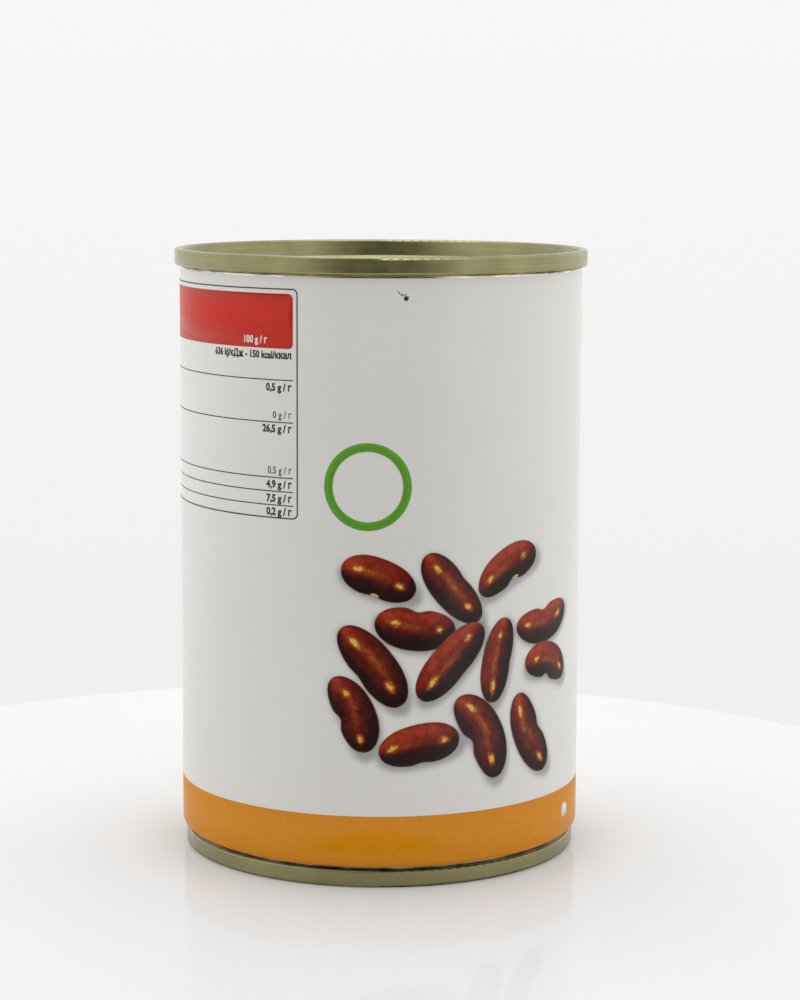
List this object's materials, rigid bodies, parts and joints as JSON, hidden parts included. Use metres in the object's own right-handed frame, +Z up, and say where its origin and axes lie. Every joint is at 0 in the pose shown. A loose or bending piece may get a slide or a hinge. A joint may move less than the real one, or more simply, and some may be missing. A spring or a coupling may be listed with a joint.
{
  "type": "canned beans",
  "caption": "Closed round steel food can of beans with rolled seams, a necked base and a beaded lid, its white printed wall showing kidney beans above an orange band.",
  "frame": {"origin": "centre of the base, on the plane that the bottom seam stands on", "axes": "+Z up along the can's axis, -Y towards the front of the print, +X to its right"},
  "size_m": [0.0753, 0.0752, 0.11],
  "materials": {
    "white_lacquer": "gloss",
    "gold_lacquered_tinplate": "satin",
    "orange_print": "gloss",
    "bean_print": "gloss",
    "green_print": "gloss",
    "red_print": "gloss",
    "dark_print": "gloss",
    "white_print": "gloss"
  },
  "bodies": {
    "root": {"body": "white_lacquer", "top_end": "gold_lacquered_tinplate", "bottom_end": "gold_lacquered_tinplate"}
  },
  "joints": []
}
